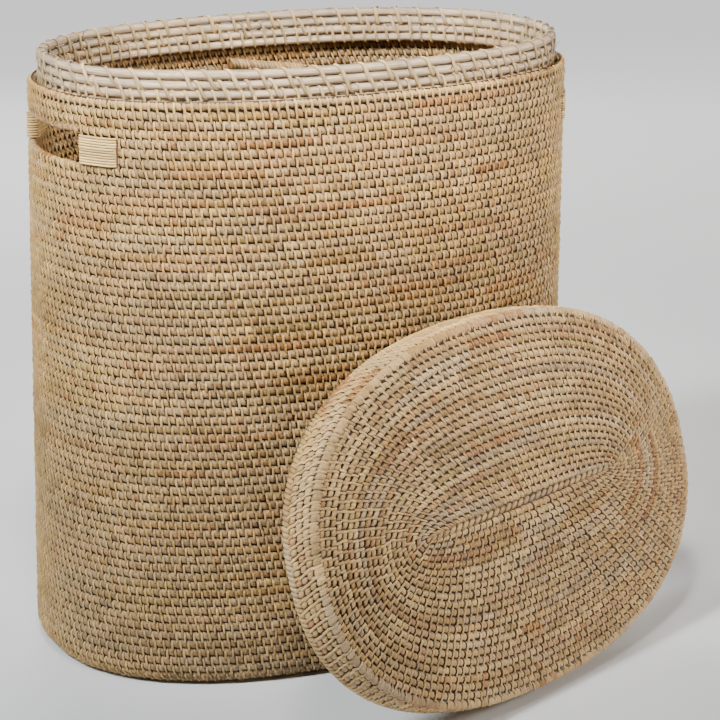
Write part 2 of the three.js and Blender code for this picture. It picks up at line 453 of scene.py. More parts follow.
# ---------------------------------------------------------------- materials
def map_range(tree, value, low, high, to_low, to_high):
    """A node that turns one range of a value into another."""
    node = tree.nodes.new("ShaderNodeMapRange")
    ends = {"From Min": low, "From Max": high, "To Min": to_low, "To Max": to_high}
    for name, amount in ends.items():
        node.inputs[name].default_value = amount
    tree.links.new(value, node.inputs["Value"])
    return node


def cane_material(name, rough=0.46, grain_size=(900, 60, 1), grain_amount=0.32, bump=0.35, coat=0.0):
    """Peeled cane: its own stain, fine lines along the grain and broad, faint blotches."""
    mat = bpy.data.materials.new(name)
    mat.use_nodes = True
    tree = mat.node_tree
    nodes, links = tree.nodes, tree.links
    bsdf = nodes["Principled BSDF"]
    stain = nodes.new("ShaderNodeAttribute")
    stain.attribute_name = "stain"
    fibre = nodes.new("ShaderNodeAttribute")
    fibre.attribute_name = "grain"
    scale = nodes.new("ShaderNodeMapping")
    scale.inputs["Scale"].default_value = grain_size
    links.new(fibre.outputs["Vector"], scale.inputs["Vector"])
    lines = nodes.new("ShaderNodeTexNoise")
    lines.inputs["Scale"].default_value = 1.0
    lines.inputs["Detail"].default_value = 3.0
    lines.inputs["Roughness"].default_value = 0.6
    links.new(scale.outputs["Vector"], lines.inputs["Vector"])
    blotch = nodes.new("ShaderNodeTexNoise")
    blotch.inputs["Scale"].default_value = 9.0
    blotch.inputs["Detail"].default_value = 4.0
    spot = nodes.new("ShaderNodeTexCoord")
    links.new(spot.outputs["Object"], blotch.inputs["Vector"])
    tone = map_range(tree, lines.outputs["Fac"], 0.3, 0.7, 1 - grain_amount, 1 + grain_amount * 0.5)
    patch = map_range(tree, blotch.outputs["Fac"], 0.35, 0.65, 0.88, 1.08)
    both = nodes.new("ShaderNodeMath")
    both.operation = "MULTIPLY"
    links.new(tone.outputs["Result"], both.inputs[0])
    links.new(patch.outputs["Result"], both.inputs[1])
    colour = nodes.new("ShaderNodeVectorMath")
    colour.operation = "SCALE"
    links.new(stain.outputs["Color"], colour.inputs[0])
    links.new(both.outputs["Value"], colour.inputs["Scale"])
    links.new(colour.outputs["Vector"], bsdf.inputs["Base Color"])
    sheen = map_range(tree, lines.outputs["Fac"], 0.0, 1.0, rough - 0.12, rough + 0.16)
    links.new(sheen.outputs["Result"], bsdf.inputs["Roughness"])
    relief = nodes.new("ShaderNodeBump")
    relief.inputs["Strength"].default_value = bump
    relief.inputs["Distance"].default_value = 0.0004
    links.new(lines.outputs["Fac"], relief.inputs["Height"])
    links.new(relief.outputs["Normal"], bsdf.inputs["Normal"])
    bsdf.inputs["Specular IOR Level"].default_value = 0.4
    bsdf.inputs["Coat Weight"].default_value = coat
    bsdf.inputs["Coat Roughness"].default_value = 0.35
    return mat


weave_mat = cane_material("rattan_weave")
lid_mat = cane_material("rattan_lid")
pole_mat = cane_material("rattan_pole", rough=0.66, grain_size=(30, 900, 900), grain_amount=0.5, bump=0.6)
strip_mat = cane_material("cane_strip", rough=0.42, grain_size=(40, 1500, 1), grain_amount=0.22,
                          bump=0.25, coat=0.15)


# ---------------------------------------------------------------- basket: courses
def path_of(z):
    """The way up the outer face from the mat's edge to that height."""
    return FOOT_ARC + z - FOOT


def off_the_hole(z, way=1):
    """The part of a course at that height that the hand holes and their lashings leave."""
    if HAND_LOW < z < HAND_HIGH:
        return lambda f: end_distance(way * f) > LASH_END - SEAM
    if BAND_LOW < z < BAND_HIGH:
        return lambda f: end_distance(way * f) > HAND_HALF + SEAM
    return None


hole_rows = list(np.linspace(HAND_LOW, HAND_HIGH, 4))
shoulder_low = HEIGHT - COURSE
upper_rows = [BAND_HIGH, (BAND_HIGH + shoulder_low) / 2, shoulder_low]
lower_count = round(path_of(BAND_LOW) / COURSE)
lower_edges = list(np.linspace(0, path_of(BAND_LOW), lower_count + 1))
outer_edges = lower_edges + [path_of(z) for z in hole_rows + upper_rows]
stitches = round(WALL_ROUND / STITCH)


def end_distance(f):
    """Y at that place round the wall: small near the middle of a narrow end."""
    return np.abs(oval(TOP_A, TOP_B, wall_angle(f))[1])


# The wall's foot is darker and greyer than its top: painted shade, where the light falls off towards the
# floor.
WALL_DARK = 0.015
FOOT_SHADE = 0.31
FOOT_SHADE_GREY = 1.6
# Two darker bands: the middle height, the spread and the depth of each.
DARK_BANDS = ((0.385, 0.035, 0.10), (0.2, 0.05, 0.05))
# Broad patches of tone come from a coarse grid of random values, up the wall and round it.
PATCHES = (12, 19)
outside = [Pile() for _ in range(5)]
rows = len(outer_edges) - 1
band_tone = rng.normal(0, 0.03, rows)
regions = rng.normal(0, 1, PATCHES)
regions[:, -1] = regions[:, 0]
for r in range(rows):
    low, high = outer_edges[r], outer_edges[r + 1]
    z = (low + high) / 2 - FOOT_ARC + FOOT
    bands = sum(dark * math.exp(-(((z - at) / wide) ** 2)) for at, wide, dark in DARK_BANDS)
    # Painted shade darkens the lower courses.
    level = WALL_DARK + band_tone[r] + bands + FOOT_SHADE * (1 - z / HEIGHT) ** 1.2
    k, t = divmod(r / rows * (len(regions) - 1.001), 1)
    strip = regions[int(k)] * (1 - t) + regions[int(k) + 1] * t
    last = len(strip) - 1
    region = np.interp(np.linspace(0, last, stitches), np.arange(last + 1), strip)
    # Painted shade greys the lower courses too.
    region = region - FOOT_SHADE_GREY * (1 - z / HEIGHT) ** 2
    stitch_row(
        outside[r * len(outside) // rows], outer_wall, (low + high) / 2, high - low, STITCH,
        stitches, cane(stitches, level, wild=1.2, region=region), shift=-ROW_SHIFT * r,
        keep=off_the_hole(z),
    )
for n, pile in enumerate(outside):
    pile.make(f"outer_weave_{n + 1}", "basket", weave_mat, "weave")

# ---------------------------------------------------------------- basket: inside of the wall
INNER_COURSES = 54
corner_rows = [WALL, FOOT - (FOOT - WALL) * math.sqrt(0.5)]
plain_rows = list(np.linspace(FOOT, BAND_LOW, INNER_COURSES + 1))
inner_rows = corner_rows + plain_rows + hole_rows + upper_rows
inside = [Pile() for _ in range(4)]
rows = len(inner_rows) - 1
inner_stitches = round(stitches * 0.97)
for r in range(rows):
    low, high = inner_rows[r], inner_rows[r + 1]
    z = (low + high) / 2
    stitch_row(
        inside[r * len(inside) // rows], inner_wall, z, high - low, STITCH,
        inner_stitches, cane(inner_stitches, 0.12, wild=1.5), shift=ROW_SHIFT * r,
        keep=off_the_hole(z, -1), lean=-0.40, fine=False,
    )
for n, pile in enumerate(inside):
    pile.make(f"inner_weave_{n + 1}", "basket", weave_mat, "weave")


def in_hole(centre):
    """Whether a point of the wall lies in a hand hole."""
    return (centre[:, 2] > BAND_LOW) & (centre[:, 2] < BAND_HIGH) & (np.abs(centre[:, 1]) < HAND_HALF)


core = Pile()
core_sheet(core, outer_wall, outer_edges + [path_of(HEIGHT)], hide=in_hole)
core_sheet(core, inner_wall, inner_rows + [HEIGHT], hide=in_hole)

# ---------------------------------------------------------------- basket: the mat
MAT_ROWS = 19
# How round the mat's ends are: at 1, its spine ends as far from them as from the long sides.
MAT_END = 0.86
BASE_SPINE = base_high.x - base_high.y * MAT_END
mat_up = flat_mat(base_high.x, base_high.y, BASE_SPINE, lambda g: WALL, True)
mat_down = flat_mat(base_high.x, base_high.y, BASE_SPINE, lambda g: 0.0, False)
mat = Pile()


def mat_courses(pile, place, a, b, spine, edges, pitch, dark, proud=1.0, tint=1.0, fine=False):
    """Every course of an oval mat, from its spine to its rim."""
    for r, (low, high) in enumerate(zip(edges[:-1], edges[1:])):
        g = (low + high) / 2
        half = spine + (a - spine) * g
        _, length = spread(half, b * g, 800)
        count = max(round(length / pitch), 12)
        even, _ = spread(half, b * g, 2000)

        def by_length(f, s, h, place=place, even=even):
            return place(even(f) / (2 * np.pi), 2 * g - s, h)

        stitch_row(pile, by_length, g, high - low, pitch, count, cane(count, dark, wild=0.6) * tint,
                   shift=0.37 * r, proud=proud, crest=0.08, fine=fine)


def from_rim(place, rim):
    """That face, measured inwards from its rim."""
    return lambda f, s, h: place(f, rim - s, h)


mat_edges = list(np.linspace(0.0, 1.0, MAT_ROWS + 1))
mat_courses(mat, mat_up, base_high.x, base_high.y, BASE_SPINE, mat_edges, BASE_STITCH, 0.1)
mat_courses(mat, mat_down, base_high.x, base_high.y, BASE_SPINE, mat_edges, BASE_STITCH, 0.1,
            proud=0.25)
mat.make("base_weave", "basket", weave_mat, "weave")
core_sheet(core, from_rim(mat_up, 1), mat_edges, cols=160, proud=-0.0012, deep=-0.003)
core_sheet(core, from_rim(mat_down, 1), mat_edges, cols=160, proud=-0.0006, deep=-0.0016)
core.make(
    "wall_core", "basket", weave_mat, "weave",
    replaces=("base_coil", "foot_turn", "lower_wall", "front_band", "back_band", "upper_wall",
              "shoulder_course"),
)


# ---------------------------------------------------------------- wrapped coils and poles
def tube(pile, centre, out, up, r_out, r_up, stain, run, cols=12, closed=False, joint_shade=0.0, skew=0.0):
    """A tube about centre points with its own outward and upward axes."""
    a = np.arange(cols) / cols * 2 * np.pi
    n = len(centre)
    P = (
        centre[:, None, :]
        + out[:, None, :] * (r_out[:, None] * np.cos(a))[..., None]
        + up[:, None, :] * (r_up[:, None] * np.sin(a))[..., None]
        + np.cross(up, out)[:, None, :] * (skew * np.sin(a))[None, :, None]
    )
    r, c = np.meshgrid(np.arange(n if closed else n - 1), np.arange(cols), indexing="ij")
    d, e = (c + 1) % cols, (r + 1) % n
    quads = np.stack([r * cols + c, e * cols + c, e * cols + d, r * cols + d], -1).reshape(-1, 4)
    grain = np.stack([np.repeat(run[:, None], cols, 1), np.repeat(np.cos(a)[None] * 0.004, n, 0),
                      np.repeat(np.sin(a)[None] * 0.004, n, 0)], -1)
    # Painted shade, with some dirt, at the top and bottom of the tube, where stacked poles touch.
    contact_shade_and_dirt = 1 - joint_shade * np.abs(np.sin(a)) ** 5
    pile.add(P, quads, (stain[:, None, :] * contact_shade_and_dirt[None, :, None]).reshape(-1, 3), grain)


def along_wall(f, inset, z, a=None, b=None):
    """Centre, outward and upward axes on the basket's oval."""
    up = np.clip(z / HEIGHT, 0, 1)
    aa = FOOT_A + (TOP_A - FOOT_A) * up - inset if a is None else a
    bb = FOOT_B + (TOP_B - FOOT_B) * up - inset if b is None else b
    x, y, nx, ny = oval(aa, bb, wall_angle(f))
    flat = 0 * nx
    centre = np.stack([x + LEAN * up, y, z + 0 * f], -1)
    return centre, np.stack([nx, ny, flat], -1), np.stack([flat, flat, 1 + flat], -1)


def wraps(f_from, f_to, pitch):
    """Ring places for a close-wrapped coil: four rings to a wrap, the outer two pinched in."""
    count = max(round((f_to - f_from) * WALL_ROUND / pitch), 3)
    k = np.repeat(np.arange(count), 4) + np.tile([0.03, 0.25, 0.75, 0.97], count)
    pinch = np.tile([0.0, 1.0, 1.0, 0.0], count)
    return f_from + (f_to - f_from) * k / count, pinch, count


def wrapped_coil(pile, axes, f_from, f_to, pitch, r_out, r_up, dark=0.0, closed=False, wild=0.8,
                 pinch_by=0.0006, joint_shade=0.38, skew=0.0, tint=1.0):
    """A coil wrapped closely in cane, with painted shade in the joints between its turns, set by
    joint_shade.
    """
    f, pinch, count = wraps(f_from, f_to, pitch)
    centre, out, up = axes(f)
    # Painted shade darkens the pinched joints between the turns.
    colours = np.repeat(cane(count, dark, wild=wild) * tint, 4, 0) * (1 - joint_shade * (1 - pinch))[:, None]
    jitter = np.repeat(rng.normal(0, 0.00012, count), 4)
    shrink = (1 - pinch) * pinch_by
    run = np.repeat(rng.random(count) * 9, 4) + f * WALL_ROUND
    tube(pile, centre, out, up, r_out - shrink + jitter, r_up - shrink + jitter, colours, run,
         closed=closed, skew=skew)


def over_edge(axes, r_out, r_up, sweep=math.pi / 2):
    """Places stitches over a rounded edge: s runs up the side, round the edge and then onwards.

    The radii are a little more than the wrapped coil's, which shows only between the stitches.
    """
    turn = sweep / 2 * (r_out + r_up)

    def place(f, s, h):
        shape = np.broadcast(f, s, h).shape
        f, s, h = (np.broadcast_to(x, shape).ravel() for x in (f, s, h))
        centre, out, up = axes(f)
        bend = np.clip(s, 0, turn)
        angle = (bend / turn * sweep)[:, None]
        spare = (s - bend)[:, None]
        cos, sin = np.cos(angle), np.sin(angle)
        outward = out * (cos * (r_out + h[:, None]) - sin * spare)
        upward = up * (sin * (r_up + h[:, None]) + cos * spare)
        return (centre + outward + upward).reshape(shape + (3,))

    return place, turn


HALF_TURN_STEPS = 4000


def half_turn(y):
    """How far round from the middle of a narrow end the wall reaches that Y."""
    f = np.linspace(0, 0.25, HALF_TURN_STEPS)
    return np.interp(y, end_distance(f), f)


HOLE_WRAP = 0.0058
HOLE_CENTRES = (("right", 0.0), ("left", 0.5))
edge_f = float(half_turn(HAND_HALF + SEAM))
hole_levels = (("lower", (BAND_LOW + HAND_LOW) / 2, 1), ("upper", (BAND_HIGH + HAND_HIGH) / 2, -1))


def hole_axes(z, way):
    """The coil along a hand hole's edge: way is 1 where the edge faces up, -1 where it faces down."""

    def axes(f):
        centre, out, up = along_wall(way * f, WALL / 2, z)
        return centre, out, way * up

    return axes


def near(middle):
    """Picks the places beside the hand hole whose middle is there."""
    return lambda f: np.abs((f - middle + 0.5) % 1 - 0.5) < edge_f


for side, middle in HOLE_CENTRES:
    beside = near(middle)
    for level, z, way in hole_levels:
        pile = Pile()
        wrapped_coil(pile, hole_axes(z, 1), middle - edge_f, middle + edge_f, HOLE_WRAP,
                     WALL / 2 - 0.0004, COIL_R - 0.0012, dark=0.35, pinch_by=0.0010, joint_shade=0.65,
                     skew=0.0026)
        hole_place, turn = over_edge(hole_axes(z, way), WALL / 2 + 0.0006, COIL_R - 0.0001, math.pi)
        stitch_row(pile, hole_place, 0.45 * turn, 1.45 * turn, STITCH, stitches,
                   cane(stitches, 0.02), keep=beside, proud=0.7, steps=11)
        if way > 0:
            stitch_row(pile, outer_wall, path_of(z), COURSE, STITCH, stitches,
                       cane(stitches), shift=0.1, keep=beside, wrap=False)
        pile.make(f"{side}_hole_{level}_wrap", "basket", weave_mat, "weave",
                  replaces=(f"{side}_hole_{level}_edge",))


def shoulder_axes(f):
    return along_wall(f, WALL / 2, HEIGHT - COIL_R)


shoulder = Pile()
wrapped_coil(shoulder, shoulder_axes, 0, 1, LOOSE_WRAP, WALL / 2 - 0.0004,
             COIL_R - 0.0010, dark=0.12, closed=True, pinch_by=0.0010, joint_shade=0.62, skew=0.0012)
shoulder_place, turn = over_edge(shoulder_axes, WALL / 2 + 0.0004, COIL_R - 0.0002)
stitch_row(shoulder, shoulder_place, 0.43 * turn, 1.74 * turn, STITCH, stitches,
           cane(stitches, 0.03), shift=0.3, proud=0.6)
shoulder.make("shoulder_weave", "basket", weave_mat, "weave")

ledge_low, ledge_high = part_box("inner_ledge")
LEDGE_R = 0.006
LEDGE_LEVEL = 0.54
# How far the blunt ends stand out.
LEDGE_TIP = 0.0004
ledge = Pile()
# The ledge runs from the middle of the far wall to the X that it reaches in the CAD model.
ledge_start = 0.25
tries = np.linspace(0.1, ledge_start, 600)
ledge_x = along_wall(tries, WALL + LEDGE_R, LEDGE_LEVEL)[0][:, 0]
ledge_end = float(np.interp(-ledge_high.x, -ledge_x, tries))


def ledge_axes(f):
    t = np.clip((f - ledge_end) / (ledge_start - ledge_end), 0, 1)
    z = ledge_low.z + LEDGE_R + (ledge_high.z - ledge_low.z - 2 * LEDGE_R) * t
    return along_wall(f, WALL + LEDGE_R, z)


wrapped_coil(ledge, ledge_axes, ledge_end, ledge_start, CLOSE_WRAP, LEDGE_R, LEDGE_R, dark=0.18,
             pinch_by=0.0011, joint_shade=0.5, skew=0.0016)
backwards, forwards = slice(None, None, -1), slice(None)
for f_end, order, tip in ((ledge_end, backwards, LEDGE_TIP), (ledge_start, forwards, -LEDGE_TIP)):
    c, out, up = ledge_axes(np.array([f_end, f_end]))
    c[1, 0] += tip
    end_r = np.array([LEDGE_R * 0.95, 0.0001])[order]
    tube(ledge, c[order], out, up, end_r, end_r, np.tile(HONEY * 0.5, (2, 1)), np.zeros(2))
ledge.make("ledge_wrap", "basket", weave_mat, "weave", replaces=("inner_ledge",))

# ---------------------------------------------------------------- collar poles
POLE_TONE = np.array([0.60, 0.44, 0.28])
PINK_POLE = np.array([0.58, 0.31, 0.16])
POLE_RINGS = 300
POLE_TONES = 25
KNUCKLES = 6
KNUCKLE_WIDE = 0.0028
KNUCKLE_HIGH = 0.00022
POLE_BOW = 0.00022
POLE_SWELL = 0.00010
pole_f = np.arange(POLE_RINGS) / POLE_RINGS
pole_z = [(low.z + high.z) / 2 for low, high in POLES]


def ripple(waves, size):
    """A small random wobble round a pole, made of a few waves."""
    return sum(np.sin(2 * np.pi * k * pole_f + rng.random() * 6) * rng.normal(0, size) for k in waves)


def round_the_pole(tones):
    """Those tones, spread evenly round a pole and blended."""
    return np.interp(pole_f * POLE_TONES, np.arange(POLE_TONES), tones, period=POLE_TONES)


for name, z in zip(POLE_NAMES, pole_z):
    pile = Pile()
    bow = ripple((2, 3, 5, 9), POLE_BOW)
    fat = ripple((4, 7, 13), POLE_SWELL)
    joints_at = np.sort(rng.random(KNUCKLES))
    away = np.abs((pole_f[:, None] - joints_at + 0.5) % 1 - 0.5)
    knuckle = np.exp(-((away / KNUCKLE_WIDE) ** 2)).sum(1)
    fat += KNUCKLE_HIGH * knuckle
    centre, out, up = along_wall(pole_f, 0, z + bow, a=POLE_A, b=POLE_B)
    drift = round_the_pole(rng.normal(0, 1, POLE_TONES))
    tone = POLE_TONE * (1 + 0.08 * drift - 0.22 * np.clip(knuckle, 0, 1))[:, None]
    if name in ("inner_pole", "collar_pole_lower"):
        blush = np.clip(round_the_pole(rng.normal(-0.2, 0.8, POLE_TONES)), 0, 0.8)
        tone = tone * (1 - blush[:, None] * 0.6) + PINK_POLE * blush[:, None] * 0.6
    r = np.full(POLE_RINGS, POLE_R) + fat
    # The poles are darker where they touch one another: painted shade, with some dirt.
    tube(pile, centre, out, up, r, r, tone, pole_f * WALL_ROUND, cols=16, closed=True, joint_shade=0.75)
    pile.make(f"{name}_cane", "basket", pole_mat, "pole", replaces=(name,))


# ---------------------------------------------------------------- flat strips
# The colour of the dark joints on the poles, and the painted shade of the slots in the wall.
JOINT_AND_SLOT_SHADE = DARK * 2.5
STRAW = np.array([0.64, 0.43, 0.18])
COLLAR_STRAW = np.array([0.54, 0.37, 0.18])


def ribbon(pile, centre, along, out, width, thick, stain, run):
    """A flat strip with a slight crown and turned-down edges."""
    side = np.cross(along, out)
    side /= np.linalg.norm(side, axis=-1, keepdims=True)
    prof = np.array([[-1, -0.9], [-0.92, 0.35], [-0.4, 0.9], [0.4, 0.9], [0.92, 0.35], [1, -0.9]])
    across = side[:, None] * (prof[:, 0] * width / 2)[None, :, None]
    P = centre[:, None] + across + out[:, None] * (prof[:, 1] * thick / 2)[None, :, None]
    n = len(centre)
    shade = np.array([0.22, 0.7, 1, 1, 0.7, 0.22])
    grain = np.stack([np.repeat(run[:, None], 6, 1), np.repeat((prof[:, 0] * width / 2)[None], n, 0),
                      np.zeros((n, 6))], -1)
    quads = grid_quads(n, 6)
    pile.add(P, quads, (stain[:, None, :] * shade[None, :, None]).reshape(-1, 3), grain)


STRIP_POINTS = 22
STRIP_THICK = 0.0013
STRIP_CLEAR = 0.00055


def collar_lashing(pile, low_z, high_z, pitch, width, f_offset):
    """A strip wound round two stacked poles: down across the outside, up across the inside."""
    r = POLE_R + STRIP_CLEAR
    half = (high_z - low_z) / 2
    middle = (low_z + high_z) / 2
    q = np.linspace(0, 1, STRIP_POINTS)
    out_off = np.sin(q * 2 * np.pi)
    up_off = np.cos(q * 2 * np.pi)
    ro = r * np.sign(out_off) * np.abs(out_off) ** 0.55
    zo = np.sign(up_off) * (np.abs(up_off) ** 0.8) * (half + r)
    count = round(WALL_ROUND / pitch)
    starts = (np.arange(count) + rng.normal(0, 0.12, count)) / count + f_offset
    for start in starts:
        slant = (0.60 + rng.normal(0, 0.07)) / count
        inward = slant + (q - 0.5) * 2 * (1 / count - slant)
        run_f = start + np.where(q <= 0.5, q * 2 * slant, inward)
        base, out, up = along_wall(run_f, 0, middle, a=POLE_A, b=POLE_B)
        P = base + out * ro[:, None] + up * zo[:, None]
        along = np.gradient(P, axis=0)
        normal = out * (ro / r)[:, None] + up * (zo / (half + r) * 0.9)[:, None]
        flat_part = np.abs(zo) < half
        normal[flat_part] = (out * np.sign(ro)[:, None])[flat_part]
        normal /= np.linalg.norm(normal, axis=-1, keepdims=True)
        tone = COLLAR_STRAW * (1 + rng.normal(0, 0.13)) * np.array([1, 1, 1 + rng.normal(0, 0.08)])
        ribbon(pile, P, along, normal, width * (1 + rng.normal(0, 0.10)), STRIP_THICK,
               np.tile(tone, (STRIP_POINTS, 1)), rng.random() * 5 + np.linspace(0, 0.05, STRIP_POINTS))


scarfs = Pile()
SCARF_POINTS = 25
SCARF_LONG = 0.030
for z, f_at in zip(pole_z, (0.62, 0.08, 0.81, 0.385)):
    turn = np.linspace(0, 2 * np.pi, SCARF_POINTS)
    cut = f_at + SCARF_LONG * (turn / (2 * np.pi) - 0.5) / WALL_ROUND
    base, out, up = along_wall(cut, 0, z, a=POLE_A, b=POLE_B)
    normal = out * np.cos(turn)[:, None] + up * np.sin(turn)[:, None]
    line = base + normal * (POLE_R + 0.0003)
    ribbon(scarfs, line, np.gradient(line, axis=0), normal, 0.0009, 0.0007,
           np.tile(JOINT_AND_SLOT_SHADE, (SCARF_POINTS, 1)), turn)
scarfs.make("collar_pole_joints", "basket", pole_mat, "pole")

# Each run of strips: its name, the lower of its two poles, its pitch, its width and its start.
LASHINGS = (
    ("upper", 2, 0.026, 0.0038, 0.0),
    ("lower", 1, 0.026, 0.0033, 0.0072),
    ("inner", 0, 0.0135, 0.0029, 0.004),
)
for name, pole, pitch, width, offset in LASHINGS:
    pile = Pile()
    collar_lashing(pile, pole_z[pole], pole_z[pole + 1], pitch, width, offset)
    pile.make(f"collar_lashing_{name}", "basket", strip_mat, "lashing")

FIBRES = 14
FIBRE_POINTS = 9
fibres = Pile()
for _ in range(FIBRES):
    f_at, level = rng.random(), rng.choice([pole_z[1], pole_z[2], pole_z[3]])
    base, out, up = along_wall(np.full(FIBRE_POINTS, f_at), 0, level, a=POLE_A, b=POLE_B)
    t = np.linspace(0, 1, FIBRE_POINTS)[:, None]
    side = np.cross(up, out) * rng.choice([-1, 1])
    curl = up * (rng.uniform(0.003, 0.010) * t**1.5)
    stray = side * (rng.uniform(0.004, 0.012) * t)
    line = base + out * (POLE_R + 0.0004 + 0.004 * t**2) + curl + stray
    ribbon(fibres, line, np.gradient(line, axis=0), out, 0.0006, 0.0003,
           np.tile(STRAW, (FIBRE_POINTS, 1)), t[:, 0])
fibres.make("collar_loose_fibres", "basket", strip_mat, "lashing")

# ---------------------------------------------------------------- hand-hole lashings
STRIPS = 11
STRIP_TALL = (HAND_HIGH - HAND_LOW) / STRIPS
SIDE_POINTS = 9
BEND = np.linspace(0, np.pi, 7)[1:-1]
# A strip's bend starts this far before the hole's end and takes up this much of it, both as
# fractions of the way round.
BEND_START = 0.0035
BEND_REACH = 0.0030
# A strip's two ends dive into the wall, this much deeper than the strip stands out.
TUCK = 0.001
EASE = 0.0002
LASH_TINT = np.array([1.40, 1.38, 1.30])
end_f = float(half_turn(HAND_HALF))
far_f = float(half_turn(LASH_END))


def end_strip(pile, middle, way, z):
    """A strip over one end of a hand hole: along the outside, round the end, back on the inside."""
    far = far_f + rng.normal(0, 0.0009)
    off = 0.0013 + rng.normal(0, 0.00022)
    start = end_f + BEND_START
    f_out = np.linspace(far, start, SIDE_POINTS)
    f_all = middle + way * np.concatenate([f_out, start - BEND_REACH * np.sin(BEND), f_out[::-1]])
    round_end = WALL / 2 - (WALL / 2 + off) * np.cos(BEND)
    depth = np.concatenate([np.full(SIDE_POINTS, -off), round_end, np.full(SIDE_POINTS, WALL + off)])
    depth[0] = off + TUCK
    depth[1] += EASE
    depth[-1] = WALL - off - TUCK
    up = np.clip(z / HEIGHT, 0, 1)
    a, b = FOOT_A + (TOP_A - FOOT_A) * up, FOOT_B + (TOP_B - FOOT_B) * up
    x, y, nx, ny = oval(a, b, wall_angle(f_all))
    line = np.stack([x - nx * depth + LEAN * up, y - ny * depth, np.full(len(depth), z)], -1)
    along = np.gradient(line, axis=0)
    along /= np.linalg.norm(along, axis=-1, keepdims=True)
    out = np.cross(along, (0.0, 0.0, 1.0)) * (-way)
    tone = STRAW * LASH_TINT * (1 + rng.normal(0, 0.16))
    if rng.random() < 0.15:
        tone = tone * 0.6 + HONEY * 0.35
    ribbon(pile, line, along * way, out, STRIP_TALL * 0.84, 0.0022, np.tile(tone, (len(depth), 1)),
           rng.random() * 5 + np.linspace(0, 0.07, len(depth)))


HOLE_ENDS = (
    ("back_right", 0.0, 1),
    ("front_right", 0.0, -1),
    ("front_left", 0.5, 1),
    ("back_left", 0.5, -1),
)
for corner_name, middle, way in HOLE_ENDS:
    pile = Pile()
    for k in range(STRIPS):
        end_strip(pile, middle, way, HAND_LOW + (k + 0.5) * STRIP_TALL)
    # The dark slot that the strips' far ends go into, a strip of painted shade.
    slot_z = np.linspace(HAND_LOW + SEAM, HAND_HIGH - SEAM, 5)
    slot_f = middle + way * (far_f + 0.0003)
    line, out, up = along_wall(np.full(5, slot_f), -0.0005, slot_z)
    ribbon(pile, line, up, out, 0.0016, 0.0006, np.tile(JOINT_AND_SLOT_SHADE, (5, 1)), slot_z)
    pile.make(f"hole_lashing_{corner_name}", "basket", strip_mat, "lashing",
              replaces=(f"lashing_{corner_name}",))

# ---------------------------------------------------------------- lid
LID_TINT = np.array([1.04, 1.12, 1.33])
SKIRT_COURSES = 4
lid_rows = list(np.linspace(0, LID_H - COURSE + 0.001, SKIRT_COURSES + 1))
inner_lid = list(np.linspace(0, LID_H - COURSE, SKIRT_COURSES + 1))
lid_stitches = round(LID_ROUND / LID_STITCH)


def lid_inside(f, s, h):
    return lid_side(f, s, h, True)


def skirt_courses(pile, place, edges, way, dark, wild=1.0, tint=1.0, **how):
    """The stitched courses of the skirt, which leave out the lowest, wrapped one."""
    for r in range(1, SKIRT_COURSES):
        low, high = edges[r], edges[r + 1]
        colours = cane(lid_stitches, dark, wild=wild) * tint
        stitch_row(pile, place, (low + high) / 2, high - low, LID_STITCH, lid_stitches,
                   colours, shift=way * ROW_SHIFT * r, **how)


lid = Pile()
# The skirt's cane is painted lighter (dark=-0.14): painted light on a face that the lamps leave dim.
skirt_courses(lid, lid_side, lid_rows, -1, -0.14, wild=0.7, tint=LID_TINT, proud=1.15, lean=-0.42)
lid.make("lid_skirt_weave", "lid", lid_mat, "lid_weave")

FACE_ROWS = 21
# The outermost part of the top belongs to the corner course, the middle to the spine.
CORNER_WIDE = 0.0091
SPINE_HALF = 0.0032
LID_RIM = 1 - CORNER_WIDE / LID_TOP_B
face_edges = list(np.linspace(SPINE_HALF / LID_TOP_B, LID_RIM, FACE_ROWS + 1))


def face_courses(pile, place, dark, fine=False):
    mat_courses(pile, place, LID_TOP_A, LID_TOP_B, LID_SPINE, face_edges, LID_TOP_STITCH, dark,
                tint=LID_TINT, fine=fine)


face = Pile()
face_courses(face, lid_face(), 0.05, fine=True)
face.make("lid_top_weave", "lid", lid_mat, "lid_weave")
under = Pile()
face_courses(under, lid_face(True), 0.1)
skirt_courses(under, lid_inside, inner_lid, 1, 0.1)
under.make("lid_under_weave", "lid", lid_mat, "lid_weave")


lid_core = Pile()
core_sheet(lid_core, lid_side, lid_rows)
core_sheet(lid_core, lid_inside, inner_lid, proud=-0.001, deep=-0.0024)
core_edges = [-0.0045 / LID_TOP_B] + [LID_RIM - g for g in reversed(face_edges)] + [LID_RIM]
for from_below in (False, True):
    core_sheet(lid_core, from_rim(lid_face(from_below), LID_RIM), core_edges, cols=200, deep=-0.0032)
lid_core.make("lid_core", "lid", lid_mat, "lid_weave", replaces=("lid_skirt", "lid_corner", "lid_top"))


def lid_axes(inset, z):
    """A coil round the lid, that far inside its face and that high up its skirt."""

    def axes(f):
        side = np.clip(z / LID_H, 0, 1)
        a = LID_A + (LID_TOP_A - LID_A) * side - inset
        b = LID_B + (LID_TOP_B - LID_B) * side - inset
        x, y, nx, ny = oval(a, b, lid_angle(f))
        return (lid_world(x, y, z + 0 * x), nx[..., None] * LID_U + ny[..., None] * LID_V,
                np.tile(LID_N, (len(f), 1)))

    return axes


